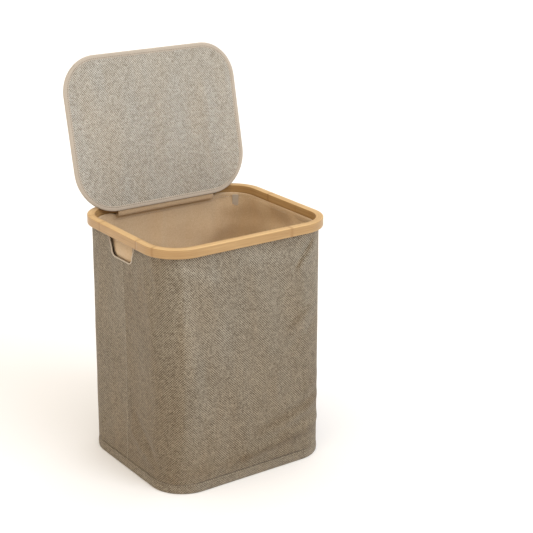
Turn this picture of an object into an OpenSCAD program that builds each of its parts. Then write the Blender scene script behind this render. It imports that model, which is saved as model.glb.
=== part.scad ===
// Fold-down laundry hamper: bent bamboo rim, cloth walls on four stay rods, loose
// liner and a hinged board lid, drawn with the lid leaning open.
// Origin: centre of the base on the floor. Front is -Y, the lid's hinge side is +Y.

/* [Overall] */
// Height of the rim's top edge above the floor
top_z = 550; // [400:10:700]
// Outside width of the rim, side to side
rim_w = 438; // [340:2:600]
// Outside depth of the rim, front to back
rim_d = 376; // [320:2:520]
// Radius of the rim's outside corners
rim_r = 80; // [60:1:110]

/* [Rim] */
// Thickness of the bent bamboo, outside to inside
rim_t = 16.5; // [14:0.5:22]
// Height of the bamboo section
rim_h = 20; // [16:1:30]
// Where the scarf joint shows on the outer face, measured forward of the centre
scarf_out = 78; // [40:2:90]
// How far the scarf runs along the rail
scarf_run = 22; // [10:1:40]
// Depth of the groove under the rim that holds the cloth's welt
groove_h = 4; // [3:0.5:6]
// Width of that groove
groove_w = 3.6; // [3:0.2:5]

/* [Cloth cover] */
// How far the cloth stands in from the rim's outer face
cover_inset = 10; // [8:0.5:12]
// How much narrower each side is at the base than under the rim
cover_side_taper = 1; // [0:0.5:4]
// How much deeper the front and the back are at the base than under the rim
cover_front_flare = 6; // [0:0.5:8]
// Thickness of the cover cloth
cover_t = 1; // [0.8:0.1:1.5]
// Height of the hem band round the base
hem_h = 20; // [14:1:40]
// Thickness of the hem band
hem_t = 4; // [3:0.5:6]
// How far the hem band stands proud of the cover
hem_proud = 3; // [1:0.5:3]
// How much rounder the hem band's corners are than the cover's
hem_extra = 10; // [6:1:12]
// Width of the tape over each side seam, inside
seam_tape_w = 12; // [8:1:20]
// Thickness of that tape
seam_tape_t = 0.8; // [0.6:0.1:1]

/* [Hand holes] */
// Width of the hand hole just under the rim
hole_top_w = 104; // [80:2:120]
// Width of the hand hole at its lower edge
hole_low_w = 82; // [60:2:100]
// Depth of the hand hole below the rim
hole_h = 42; // [30:1:60]
// Radius of the hand hole's lower corners
hole_r = 14; // [6:1:20]
// Width of the tape bound round the hand hole
binding_w = 3; // [2:0.5:5]
// Thickness of that tape
binding_t = 2.2; // [1.6:0.2:3]

/* [Base] */
// Thickness of the base board
board_t = 4; // [3:0.5:6]
// Thickness of the cloth under the board
sole_t = 1; // [0.8:0.1:2]

/* [Liner] */
// How far the liner stands in from the rim's inner face and the rods' caps
liner_inset = 1.5; // [1:0.5:4]
// Thickness of the liner cloth
liner_t = 0.8; // [0.6:0.1:1.2]
// Height of the turned hem at the liner's top
liner_hem_h = 12; // [8:1:20]
// Thickness that the hem adds on the inside
liner_hem_t = 0.5; // [0.4:0.1:1]
// Width of each corner tab that ties the liner up
tab_w = 14; // [10:1:20]
// Length of each corner tab
tab_h = 26; // [18:1:40]
// Thickness of a corner tab
tab_t = 1; // [0.8:0.1:1.5]
// Thickness of the hook-and-loop patch behind each tab
patch_t = 1.2; // [0.8:0.1:2]

/* [Stay rods] */
// Diameter of a stay rod
rod_d = 4; // [3:0.5:4]
// Outside diameter of the soft cap on a rod's tip
cap_d = 5.5; // [5:0.25:5.5]
// Length of that cap
cap_h = 14; // [8:1:25]
// Outside diameter of a rod's foot socket
foot_d = 6.2; // [6:0.1:6.4]
// Height of a rod's foot socket
foot_h = 12; // [8:1:15]

/* [Lid] */
// Gap between the shut lid's hinge edge and the rear rail's inner face
lid_back = 15.5; // [15.3:0.1:16.5]
// How much rounder the lid's two front corners are than the rim's
lid_front_extra = 3; // [0:1:20]
// How much rounder the lid's two hinge-side corners are than the rim's
lid_rear_extra = 15; // [6:1:30]
// Thickness of the stiffening board
lid_board_t = 3.3; // [2.5:0.1:5]
// Thickness of the cloth on each face
lid_cloth_t = 0.6; // [0.4:0.1:1]
// Width of the edge binding on each face
lid_binding_w = 11; // [8:1:16]
// Thickness of the edge binding
lid_binding_t = 0.5; // [0.4:0.1:1]
// How far the lid swings from closed to leaning open
lid_open = 102.5; // [95:0.5:103]
// Hinge line, measured forward of the rear rail's inner face
hinge_in = 20.6; // [20.5:0.1:22]
// Hinge line, measured below the rim's top edge
hinge_drop = 4.6; // [4.5:0.1:5]
// Width of the cloth hinge flap
flap_w = 250; // [150:5:260]
// Thickness of the hinge flap
flap_t = 1.1; // [0.8:0.1:1.2]

/* [Hidden] */
// Gap between pieces that lie against each other
gap = 0.1;
// Gap between pieces that move past each other
run = 0.3;
// Gap between the cloth's top edges and the rim, which the hinge flap runs through
slack = 1.5;
// Straight steps in each quarter of a rounded corner
steps = 12;
// How far a cutting shape runs past what it cuts
over = 1;

rim_z = top_z - rim_h;
cloth_top = rim_z - slack;
core_x = rim_w / 2 - rim_r;
core_y = rim_d / 2 - rim_r;
inner_y = rim_d / 2 - rim_t;

cover_w = rim_w - 2 * cover_inset;
cover_d = rim_d - 2 * cover_inset;
cover_r = rim_r - cover_inset;
foot_w = cover_w - 2 * cover_side_taper;
foot_y = cover_d + 2 * cover_front_flare;
hem_out_w = foot_w + 2 * hem_proud;
hem_out_d = foot_y + 2 * hem_proud;
hem_out_r = cover_r + hem_extra;
hole_x = cover_w / 2 - cover_t / 2;

floor_z = sole_t + board_t;
liner_out = max(rim_t, cover_inset + cover_t + cap_d) + liner_inset;
liner_r = rim_r - liner_out;
liner_z = floor_z + 2 * gap;

rod_r = cover_r - cover_t - 2 * gap - cap_d / 2;
rod_x = core_x + rod_r * cos(45);
rod_y = core_y + rod_r * sin(45);

lid_t = lid_board_t + 2 * lid_cloth_t + 2 * lid_binding_t;
lid_front = -rim_d / 2;
lid_l = inner_y - lid_back - lid_front;
lid_front_r = rim_r + lid_front_extra;
lid_rear_r = rim_r + lid_rear_extra;
hinge_y = inner_y - hinge_in;
hinge_z = top_z - hinge_drop;

bamboo = "burlywood";
linen = "#9b8d76";
lining = "#c2a98b";
tape = "#d2c5b0";

// Points of a quarter arc, anticlockwise from the angle a0
function arc(cx, cy, r, a0) =
    [for (i = [0:steps]) [cx + r * cos(a0 + 90 * i / steps), cy + r * sin(a0 + 90 * i / steps)]];

// Rounded rectangle about the origin, with one radius at the back and one at the front
function rounded(w, d, rear_r, front_r) = concat(
    arc(w / 2 - rear_r, d / 2 - rear_r, rear_r, 0),
    arc(rear_r - w / 2, d / 2 - rear_r, rear_r, 90),
    arc(front_r - w / 2, front_r - d / 2, front_r, 180),
    arc(w / 2 - front_r, front_r - d / 2, front_r, 270));

module outline(w, d, r) { polygon(rounded(w, d, r, r)); }

// The rim's own outline, moved inward by inset
module rim_outline(inset) {
    outline(rim_w - 2 * inset, rim_d - 2 * inset, rim_r - inset);
}

// A flat band that follows the rim's outline between two insets
module rim_band(from, to) {
    difference() {
        rim_outline(from);
        rim_outline(to);
    }
}

module rim_ring() {
    groove_from = cover_inset - gap;
    difference() {
        translate([0, 0, rim_z]) linear_extrude(rim_h) rim_band(0, rim_t);
        translate([0, 0, rim_z - over]) linear_extrude(groove_h + over)
            rim_band(groove_from, groove_from + groove_w);
    }
}

// Everything in front of the two scarf joints, seen from above
module scarf_cut() {
    far = rim_w;
    out_x = rim_w / 2;
    in_x = out_x - rim_t;
    in_y = scarf_run - scarf_out;
    translate([0, 0, rim_z - over]) linear_extrude(rim_h + 2 * over)
        polygon([[-far, -far], [far, -far], [far, -scarf_out], [out_x, -scarf_out],
                 [in_x, in_y], [-in_x, in_y], [-out_x, -scarf_out], [-far, -scarf_out]]);
}

module rim_front() {
    color(bamboo) intersection() {
        rim_ring();
        scarf_cut();
    }
}

module rim_rear() {
    color(bamboo) difference() {
        rim_ring();
        scarf_cut();
    }
}

// Rolled upper edge of the cover, seated in the groove
module cover_welt() {
    color(linen) translate([0, 0, rim_z]) linear_extrude(groove_h - gap)
        rim_band(cover_inset, cover_inset + groove_w - 2 * gap);
}

// Cloth hinge: leaves the rear rail's underside and runs forward under the lid's edge
module hinge_flap() {
    back = rim_d / 2 - cover_inset - cover_t;
    tip = hinge_y + over;
    low = rim_z - flap_t - gap / 2;
    rise = slack + hinge_drop / 2;
    color(linen) translate([-flap_w / 2, 0, 0]) rotate([90, 0, 90]) linear_extrude(flap_w)
        polygon([[back, low], [back, low + flap_t], [inner_y - run, low + flap_t],
                 [tip, low + flap_t + rise], [tip, low + rise], [inner_y - run, low]]);
}

module base_board() {
    color("#8a7a63") translate([0, 0, sole_t]) linear_extrude(board_t)
        outline(hem_out_w - 2 * (hem_t + gap), hem_out_d - 2 * (hem_t + gap), hem_out_r - hem_t - gap);
}

module base_cloth() {
    color(linen) linear_extrude(sole_t)
        outline(hem_out_w - 2 * (hem_t + gap), hem_out_d - 2 * (hem_t + gap), hem_out_r - hem_t - gap);
}

module base_hem() {
    color(linen) linear_extrude(hem_h) difference() {
        outline(hem_out_w, hem_out_d, hem_out_r);
        outline(hem_out_w - 2 * hem_t, hem_out_d - 2 * hem_t, hem_out_r - hem_t);
    }
}

// Solid inside the cover's outer face (skin = 0) or its inner face (skin = cover_t),
// carried on by more past both ends of the wall at the same slope
module cover_body(skin, more) {
    bottom = hem_h + gap;
    share = more / (cloth_top - bottom);
    low_w = foot_w - share * (cover_w - foot_w) - 2 * skin;
    low_d = foot_y - share * (cover_d - foot_y) - 2 * skin;
    high_w = cover_w + share * (cover_w - foot_w) - 2 * skin;
    high_d = cover_d + share * (cover_d - foot_y) - 2 * skin;
    spread = [high_w / low_w, high_d / low_d];
    translate([0, 0, bottom - more])
        linear_extrude(cloth_top - bottom + 2 * more, scale = spread, slices = 1)
            outline(low_w, low_d, cover_r - skin);
}

// Outline of a hand hole seen from the side, made larger by grow
module hand_hole(grow) {
    top = cloth_top + over;
    low = cloth_top - hole_h - grow;
    half_top = hole_top_w / 2 + grow;
    half_low = hole_low_w / 2 + grow;
    r = hole_r + grow;
    polygon(concat([[half_top, top], [-half_top, top]],
                   arc(r - half_low, low + r, r, 180),
                   arc(half_low - r, low + r, r, 270)));
}

// Runs a side-view outline through the wall at x, over the thickness t
module through_side(x, t) {
    translate([x - t / 2, 0, 0]) rotate([90, 0, 90]) linear_extrude(t) children();
}

module cover_wall() {
    cut = 4 * cover_inset;
    difference() {
        cover_body(0, 0);
        cover_body(cover_t, over);
        for (side = [-1, 1]) through_side(side * hole_x, cut) hand_hole(binding_w + gap);
    }
}

// The half of space on one side (-1 front, 1 rear) of the side seams
module half(side) {
    size = 2 * rim_w;
    translate([-size / 2, side > 0 ? gap / 2 : -gap / 2 - size, 0]) cube([size, size, top_z]);
}

module cover_front() {
    color(linen) intersection() {
        cover_wall();
        half(-1);
    }
}

module cover_rear() {
    color(linen) intersection() {
        cover_wall();
        half(1);
    }
}

module side_seam_tapes() {
    bottom = hem_h + slack;
    top = cloth_top - hole_h - binding_w - slack;
    x = foot_w / 2 - cover_t - gap - seam_tape_t;
    color(tape) for (side = [0, 1]) mirror([side, 0, 0])
        translate([x, -seam_tape_w / 2, bottom]) cube([seam_tape_t, seam_tape_w, top - bottom]);
}

module handle_binding(side) {
    color(tape) intersection() {
        through_side(side * hole_x, binding_t) difference() {
            hand_hole(binding_w);
            hand_hole(0);
        }
        translate([-rim_w / 2, -rim_d / 2, 0]) cube([rim_w, rim_d, cloth_top]);
    }
}

module handle_binding_left() { handle_binding(-1); }

module handle_binding_right() { handle_binding(1); }

module liner_wall() {
    color(lining) translate([0, 0, liner_z]) linear_extrude(cloth_top - liner_z)
        rim_band(liner_out, liner_out + liner_t);
}

module liner_floor() {
    color(lining) translate([0, 0, liner_z]) linear_extrude(liner_t)
        rim_outline(liner_out + liner_t + gap);
}

module liner_hem() {
    from = liner_out + liner_t + gap;
    color(lining) translate([0, 0, cloth_top - liner_hem_h]) linear_extrude(liner_hem_h)
        rim_band(from, from + liner_hem_t);
}

// Puts a child at each of the four corners, at the distance r from the corner's centre
module each_corner(r) {
    for (flip_x = [0, 1], flip_y = [0, 1]) mirror([flip_x, 0, 0]) mirror([0, flip_y, 0])
        translate([core_x, core_y, 0]) rotate([0, 0, 45]) translate([r, 0, 0]) children();
}

// Flat plate square to a corner, with its outer face just clear of the liner's hem
module corner_plate(behind, thick, wide, high) {
    hem_in = liner_r - liner_t - gap - liner_hem_t - gap;
    sag = hem_in - sqrt(hem_in * hem_in - wide * wide / 4);
    each_corner(hem_in - sag - gap - behind - thick)
        translate([0, -wide / 2, cloth_top - high]) cube([thick, wide, high]);
}

module liner_tabs() {
    color(tape) corner_plate(patch_t + gap, tab_t, tab_w, tab_h);
}

module tab_patches() {
    color("#b8ab95") corner_plate(0, patch_t, tab_w - 2, tab_h - 4);
}

module stay_rods() {
    bottom = floor_z + sole_t;
    color("silver") each_corner(rod_r)
        translate([0, 0, bottom]) cylinder(h = rim_z - run - sole_t - bottom, d = rod_d, $fn = 32);
}

// Socket on the base board that takes a rod's lower end
module rod_feet() {
    color("dimgray") each_corner(rod_r) translate([0, 0, floor_z]) difference() {
        cylinder(h = foot_h, d = foot_d, $fn = 32);
        translate([0, 0, sole_t]) cylinder(h = foot_h, d = rod_d + 2 * gap, $fn = 32);
    }
}

// Soft cap that bears on the rim's underside
module rod_caps() {
    top = rim_z - run;
    color("dimgray") each_corner(rod_r) translate([0, 0, top - cap_h]) difference() {
        cylinder(h = cap_h, d = cap_d, $fn = 32);
        translate([0, 0, -sole_t]) cylinder(h = cap_h, d = rod_d + 2 * gap, $fn = 32);
    }
}

// Cloth tunnel round each rod between its socket and its cap
module rod_sleeves() {
    bottom = floor_z + foot_h + 2 * sole_t;
    top = rim_z - run - cap_h - 2 * sole_t;
    color(lining) each_corner(rod_r) translate([0, 0, bottom]) difference() {
        cylinder(h = top - bottom, d = rod_d + 1.4, $fn = 32);
        translate([0, 0, -over]) cylinder(h = top - bottom + 2 * over, d = rod_d + 2 * gap, $fn = 32);
    }
}

// Lid outline moved inward by inset, lying shut with its front edge over the rim's
module lid_outline(inset) {
    translate([0, lid_front + lid_l / 2])
        polygon(rounded(rim_w - 2 * inset, lid_l - 2 * inset, lid_rear_r - inset, lid_front_r - inset));
}

// A layer of the lid, z0 above its under face, swung open about the hinge line
module lid_layer(z0, thick) {
    translate([0, hinge_y, hinge_z]) rotate([-lid_open, 0, 0])
        translate([0, -hinge_y, top_z + run + z0 - hinge_z]) linear_extrude(thick) children();
}

module lid_board() {
    color("#a89878") lid_layer(lid_binding_t + lid_cloth_t, lid_board_t)
        lid_outline(lid_binding_t + 3 * gap);
}

module lid_inner_cloth() {
    color("#aaa08f") lid_layer(lid_binding_t, lid_cloth_t)
        lid_outline(lid_binding_t + 3 * gap);
}

module lid_outer_cloth() {
    color(linen) lid_layer(lid_binding_t + lid_cloth_t + lid_board_t, lid_cloth_t)
        lid_outline(lid_binding_t + 3 * gap);
}

module lid_binding() {
    web = lid_binding_t + 2 * gap;
    color(tape) union() {
        lid_layer(0, lid_t) difference() {
            lid_outline(0);
            lid_outline(web);
        }
        for (z0 = [0, lid_t - lid_binding_t + gap / 2]) lid_layer(z0, lid_binding_t - gap / 2) difference() {
            lid_outline(web - gap);
            lid_outline(lid_binding_w);
        }
    }
}

rim_front();
rim_rear();
cover_welt();
hinge_flap();
base_board();
base_cloth();
base_hem();
cover_front();
cover_rear();
side_seam_tapes();
handle_binding_left();
handle_binding_right();
liner_wall();
liner_floor();
liner_hem();
liner_tabs();
tab_patches();
stay_rods();
rod_feet();
rod_caps();
rod_sleeves();
lid_board();
lid_outer_cloth();
lid_inner_cloth();
lid_binding();
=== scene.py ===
"""Looks of a fold-down laundry hamper: bamboo rim, cloth walls, loose liner and hinged lid."""

from math import atan2, ceil, cos, exp, hypot, pi, radians, sin

import bmesh
import bpy
from bpy.props import FloatProperty, FloatVectorProperty, IntProperty, PointerProperty
from mathutils import Matrix, Vector, noise


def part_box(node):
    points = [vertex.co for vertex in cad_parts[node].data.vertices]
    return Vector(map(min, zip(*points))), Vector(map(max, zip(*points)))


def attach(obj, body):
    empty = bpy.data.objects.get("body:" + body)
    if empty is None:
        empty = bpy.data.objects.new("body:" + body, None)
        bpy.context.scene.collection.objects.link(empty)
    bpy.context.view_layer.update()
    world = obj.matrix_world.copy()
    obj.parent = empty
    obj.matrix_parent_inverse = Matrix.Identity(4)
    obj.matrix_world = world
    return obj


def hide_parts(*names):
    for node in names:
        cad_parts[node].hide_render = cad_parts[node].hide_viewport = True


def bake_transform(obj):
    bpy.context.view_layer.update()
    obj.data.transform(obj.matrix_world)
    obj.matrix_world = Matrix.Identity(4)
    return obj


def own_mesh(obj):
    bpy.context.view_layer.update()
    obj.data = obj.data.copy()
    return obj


bl_info = {
    "name": "Laundry Hamper",
    "version": (1, 0, 0),
    "blender": (4, 5, 0),
    "location": "View3D > Sidebar > Hamper",
    "description": "Builds the cloth, bamboo and sewn details of a laundry hamper on its frame",
    "category": "Object",
}

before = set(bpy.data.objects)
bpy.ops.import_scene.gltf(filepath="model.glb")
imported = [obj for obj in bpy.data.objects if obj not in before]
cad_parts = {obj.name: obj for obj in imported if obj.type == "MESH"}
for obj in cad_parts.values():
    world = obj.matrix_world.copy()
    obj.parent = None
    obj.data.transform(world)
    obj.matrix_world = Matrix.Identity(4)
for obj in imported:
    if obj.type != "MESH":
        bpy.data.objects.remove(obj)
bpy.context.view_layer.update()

MM = 0.001
UP = Vector((0, 0, 1))


def length(name, description, millimetres, low=0.0, high=1000.0):
    """A size property, given in millimetres and kept in metres."""
    return FloatProperty(
        name=name,
        description=description,
        default=millimetres * MM,
        min=low * MM,
        max=high * MM,
        unit="LENGTH",
        subtype="DISTANCE",
        precision=5,
    )


def box_size(*nodes):
    """Lowest and highest corner of several frame nodes together, in millimetres."""
    lows, highs = zip(*(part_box(n) for n in nodes))
    low = Vector(tuple(min(p[i] for p in lows) for i in range(3))) / MM
    high = Vector(tuple(max(p[i] for p in highs) for i in range(3))) / MM
    return low, high


RIM_LOW, RIM_HIGH = box_size("rim_front", "rim_rear")
HEM_LOW, HEM_HIGH = box_size("base_hem")
COVER_HIGH = box_size("cover_front", "cover_rear")[1]
LINER_LOW, LINER_HIGH = box_size("liner_wall")
LID_HINGE = Vector((0, 150.9, 545.4)) * MM
LID_SWING = radians(-102.5)
LID_UNDER = RIM_HIGH.z * MM + 0.3 * MM  # underside of the shut lid


def srgb(code):
    """Linear colour of an sRGB hex code."""
    parts = [int(code[i : i + 2], 16) / 255 for i in (1, 3, 5)]
    return [c / 12.92 if c <= 0.04045 else ((c + 0.055) / 1.055) ** 2.4 for c in parts]


def tint(name, description, code):
    return FloatVectorProperty(
        name=name,
        description=description,
        default=srgb(code),
        size=3,
        min=0,
        max=1,
        subtype="COLOR",
    )


class HamperSizes(bpy.types.PropertyGroup):
    """Sizes of the bent, cut and sewn pieces"""

    rim_width: length("Rim width", "Outside width of the bamboo rim", RIM_HIGH.x - RIM_LOW.x)
    rim_depth: length("Rim depth", "Outside depth of the bamboo rim", RIM_HIGH.y - RIM_LOW.y)
    rim_radius: length("Rim corner radius", "Radius of the rim's outside corners", 80)
    rim_thickness: length("Rim thickness", "Outside to inside", 16.5)
    rim_round: length("Rim edge rounding", "How far the rim's long edges are eased", 1.6)
    scarf_out: length("Scarf start", "Where the joint shows outside, forward of the centre", 78)
    scarf_in: length("Scarf end", "Where the joint shows inside, forward of the centre", 56)
    cover_inset: length("Cover inset", "How far the cloth stands in from the rim's face", 10)
    cover_thickness: length("Cover thickness", "Thickness of the cover cloth", 1)
    hem_height: length("Hem height", "Height of the band round the base", HEM_HIGH.z)
    fold_depth: FloatProperty(
        name="Fold depth", description="Strength of the folds in the walls", default=1.5, min=0, max=2
    )
    hole_top: length("Hand hole half width, top", "Half the hand hole's width under the rim", 52)
    hole_low: length("Hand hole half width, low", "Half its width at the lower edge", 41)
    hole_depth: length("Hand hole depth", "Depth of the hand hole below the cloth's top", 42)
    hole_radius: length("Hand hole radius", "Radius of its lower corners", 14)
    piping: length("Piping", "Width of the piping round the hand hole", 3)
    liner_inset: length("Liner inset", "How far the liner stands in from the rim's face", 18)
    liner_hem: length("Liner hem", "Height of the liner's turned hem", 12)
    lid_length: length("Lid length", "Length of the lid, hinge side to front", 344)
    lid_thickness: length("Lid thickness", "Thickness over the binding", 5.5)
    lid_front_radius: length("Lid front radius", "Radius of the lid's front corners", 83)
    lid_rear_radius: length("Lid rear radius", "Radius of the lid's hinge-side corners", 95)
    lid_binding: length("Lid binding", "Width of the edge binding on each face", 11)
    stitch: length("Stitch length", "Length of one stitch", 3.4)
    stitch_pitch: length("Stitch pitch", "From one stitch to the next", 4.6)
    thread: length("Thread", "Thickness of the sewing thread", 0.7)
    wall_rows: IntProperty(
        name="Wall rows", description="Rows of faces up each cloth wall", default=124, min=8, max=160
    )


class HamperColours(bpy.types.PropertyGroup):
    """Colours of the hamper's finishes"""

    linen_light: tint("Linen light", "Pale fibres of the cover's cloth", "#9f9687")
    linen_dark: tint("Linen dark", "Dark fibres of the cover's cloth", "#554a3c")
    lid_light: tint("Lid lining light", "Pale fibres of the lid's inner cloth", "#c1bdb6")
    lid_dark: tint("Lid lining dark", "Dark fibres of the lid's inner cloth", "#7e776c")
    lining_light: tint("Lining light", "Pale threads of the liner", "#d3bda0")
    lining_dark: tint("Lining dark", "Dark threads of the liner", "#b79c7c")
    tape: tint("Binding tape", "Binding, piping and tabs", "#c1b5a7")
    bamboo_light: tint("Bamboo light", "Pale fibre of the bamboo", "#d9b885")
    bamboo_dark: tint("Bamboo dark", "Dark fibre of the bamboo", "#ad8756")
    bamboo_node: tint("Bamboo node", "Growth rings across the bamboo", "#8d6233")
    thread_pale: tint("Pale thread", "Stitching on the pale tapes", "#e6dccb")
    thread_dark: tint("Dark thread", "Stitching on the hem", "#5a4c3b")
    board: tint("Fibreboard", "Raw board inside the base and the lid", "#8f7552")
    floor: tint("Floor", "The studio floor", "#f1f1f3")


def sizes():
    return bpy.context.scene.hamper_sizes


def colours():
    return bpy.context.scene.hamper_colours


# ---------------------------------------------------------------- mesh helpers


def picked(geom, kind):
    return [g for g in geom if isinstance(g, kind)]


def lap(width, depth, rear, front, start, stop=None):
    """Runs and turns of one lap over the front, from the right side at start to the left
    side at stop, or all the way round to start again."""
    legs = [
        (Vector((0, front - depth / 2 - start, 0)), None),
        (None, Vector((width / 2 - front, front - depth / 2, 0))),
        (Vector((2 * front - width, 0, 0)), None),
        (None, Vector((front - width / 2, front - depth / 2, 0))),
    ]
    if stop is not None:
        return legs + [(Vector((0, stop + depth / 2 - front, 0)), None)]
    return legs + [
        (Vector((0, depth - front - rear, 0)), None),
        (None, Vector((rear - width / 2, depth / 2 - rear, 0))),
        (Vector((width - 2 * rear, 0, 0)), None),
        (None, Vector((width / 2 - rear, depth / 2 - rear, 0))),
        (Vector((0, start - depth / 2 + rear, 0)), None),
    ]


def section(bm, points, closed=False):
    """Edges through a few points, which a sweep then carries along."""
    verts = [bm.verts.new(p) for p in points]
    ends = verts[1:] + verts[:1] if closed else verts[1:]
    return [bm.edges.new(pair) for pair in zip(verts, ends)]


def draw_out(bm, edges, run, steps):
    """Carries edges straight along in even steps."""
    for _ in range(steps):
        made = bmesh.ops.extrude_edge_only(bm, edges=edges)["geom"]
        moved = set(picked(made, bmesh.types.BMVert))
        bmesh.ops.translate(bm, verts=list(moved), vec=run / steps)
        edges = [e for e in picked(made, bmesh.types.BMEdge) if moved.issuperset(e.verts)]
    return edges


def sweep(bm, edges, legs, pace, turns):
    """Carries a section along the straight runs and round the corners."""
    for run, centre in legs:
        if centre is None:
            edges = draw_out(bm, edges, run, ceil(run.length / pace))
            continue
        geom = edges + list({v for e in edges for v in e.verts})
        made = bmesh.ops.spin(
            bm, geom=geom, cent=centre, axis=UP, angle=-pi / 2, steps=turns, use_merge=False
        )
        edges = picked(made["geom_last"], bmesh.types.BMEdge)


def weld(bm, within=0.02 * MM):
    bmesh.ops.remove_doubles(bm, verts=bm.verts, dist=within)


def whole(faces):
    """Faces with their edges and corners, as a cut needs them."""
    return faces + list({e for f in faces for e in f.edges}) + list({v for f in faces for v in f.verts})


def close_ends(bm):
    """Fills the open ends of a swept piece and turns its faces outwards."""
    bmesh.ops.holes_fill(bm, edges=[e for e in bm.edges if e.is_boundary], sides=0)
    bmesh.ops.recalc_face_normals(bm, faces=bm.faces)


def along(width, depth, radius, side):
    """Reads a place on a rounded rectangle as cloth: how far along the wall from the middle
    of that side (-1 front, 1 rear), how far out, and how high."""
    flat_x, flat_y = width / 2 - radius, depth / 2 - radius

    def read(co):
        x, y = abs(co.x), co.y * side
        if x <= flat_x and y > 0:
            far, out = x, y - depth / 2
        elif y <= flat_y:
            far, out = flat_x + radius * pi / 2 + flat_y - y, x - width / 2
        else:
            far = flat_x + radius * atan2(x - flat_x, y - flat_y)
            out = hypot(x - flat_x, y - flat_y) - radius
        return Vector((far if co.x >= 0 else -far, co.z, out))

    return read


def lay_cloth(bm, read, lap_length=0.0):
    """Stores where each corner of each face lies on the flat cloth, for the weave."""
    layer = bm.loops.layers.float_vector.new("cloth")
    for face in bm.faces:
        spots = [read(loop.vert.co) for loop in face.loops]
        first = max(spot.x for spot in spots)
        for loop, spot in zip(face.loops, spots):
            if lap_length and first - spot.x > lap_length / 2:
                spot.x += lap_length
            loop[layer] = spot


def finish_mesh(name, bm, material, smooth=True):
    """Turns a bmesh into an object at the origin."""
    for face in bm.faces:
        face.smooth = smooth
    mesh = bpy.data.meshes.new(name)
    bm.to_mesh(mesh)
    bm.free()
    mesh.materials.append(material)
    made = bpy.data.objects.new(name, mesh)
    bpy.context.scene.collection.objects.link(made)
    return made


def face_outwards(bm):
    """Turns an upright open wall so that its faces look away from the middle."""
    bm.normal_update()
    facing = [(f.normal, f.calc_center_median()) for f in bm.faces]
    if sum(normal.x * centre.x + normal.y * centre.y for normal, centre in facing) < 0:
        bmesh.ops.reverse_faces(bm, faces=bm.faces)
    bm.normal_update()


def face_up(bm, way=1):
    """Turns a flat sheet so that its faces look up, or down with way at -1."""
    bmesh.ops.recalc_face_normals(bm, faces=bm.faces)
    if sum(f.normal.z for f in bm.faces) * way < 0:
        bmesh.ops.reverse_faces(bm, faces=bm.faces)


def sheet_disc(bm, width, depth, rear, front, z, insets):
    """A flat sheet: rings of faces swept round at growing insets, and one panel in the middle."""
    edges = section(bm, [(width / 2 - inset * MM, 0, z) for inset in insets])
    sweep(bm, edges, lap(width, depth, rear, front, 0), 14 * MM, 16)
    weld(bm)
    half_x, half_y = (side / 2 - (insets[-1] - 0.05) * MM for side in (width, depth))
    middle = [
        e for e in bm.edges
        if e.is_boundary and all(abs(v.co.x) < half_x and abs(v.co.y) < half_y for v in e.verts)
    ]
    panel = bmesh.ops.contextual_create(bm, geom=middle)["faces"]
    if len(panel) != 1:
        raise RuntimeError("the sheet's middle was not filled")
    bmesh.ops.triangulate(bm, faces=panel)


def thicken(made, thickness, offset):
    solid = made.modifiers.new("Cloth thickness", "SOLIDIFY")
    solid.thickness = thickness
    solid.offset = offset
    return made


def ease_edges(made, angle=35):
    made.data.set_sharp_from_angle(angle=radians(angle))
    return made


def falls_with_rim(made, foot=20 * MM):
    """Hangs a piece on the base's body and gives it a mesh of its own."""
    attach(made, "base")
    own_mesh(made)


def dress(node, finish):
    """Gives its finish to a frame piece that is shown as it is."""
    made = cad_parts[node]
    made.data.materials.clear()
    made.data.materials.append(finish)


def swing_open(bm):
    """Turns a lid piece from lying shut to leaning open."""
    turn = Matrix.Rotation(LID_SWING, 4, "X")
    bmesh.ops.rotate(bm, cent=LID_HINGE, matrix=turn, verts=bm.verts)


# ------------------------------------------------------------------- materials


def add(tree, kind, inputs=None, **settings):
    """Adds a node with its settings, and sets or links its inputs."""
    made = tree.nodes.new(kind)
    for name, value in settings.items():
        setattr(made, name, value)
    for name, value in (inputs or {}).items():
        if isinstance(value, bpy.types.NodeSocket):
            tree.links.new(value, made.inputs[name])
        else:
            made.inputs[name].default_value = value
    return made


def rgba(colour):
    return (*colour, 1)


def new_material(name, **shader):
    """A material with one Principled shader, its constant values on the sockets."""
    made = bpy.data.materials.new(name)
    made.use_nodes = True
    bsdf = made.node_tree.nodes["Principled BSDF"]
    for key, value in shader.items():
        bsdf.inputs[key.replace("_", " ")].default_value = value
    made.diffuse_color = (0.6, 0.5, 0.4, 1)
    return made, made.node_tree, bsdf


def mix(tree, amount, a, b, blend="MIX"):
    node = add(tree, "ShaderNodeMix", data_type="RGBA", blend_type=blend)
    for index, value in ((0, amount), (6, a), (7, b)):
        if isinstance(value, bpy.types.NodeSocket):
            tree.links.new(value, node.inputs[index])
        else:
            node.inputs[index].default_value = value
    return node.outputs[2]


def sums(tree, operation, a, b=0.0, c=0.0, clamp=False):
    return add(tree, "ShaderNodeMath", {0: a, 1: b, 2: c}, operation=operation, use_clamp=clamp).outputs[0]


def weighed(tree, start, *terms):
    """A start value plus a few others, each by its weight, held between 0 and 1."""
    for value, weight in terms:
        start = sums(tree, "MULTIPLY_ADD", value, weight, start)
    return sums(tree, "ADD", start, clamp=True)


def clouds(tree, place, scale, detail=2.0, **more):
    """Soft uneven patches, smaller with a larger scale."""
    inputs = {"Vector": place, "Scale": scale, "Detail": detail, **more}
    return add(tree, "ShaderNodeTexNoise", inputs).outputs[0]


def stretched(tree, place, factors):
    return add(tree, "ShaderNodeVectorMath", {0: place, 1: factors}, operation="MULTIPLY").outputs[0]


def cloth_place(tree):
    """Where a point lies on the flat cloth, as lay_cloth stored it."""
    return add(tree, "ShaderNodeAttribute", attribute_name="cloth").outputs["Vector"]


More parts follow.
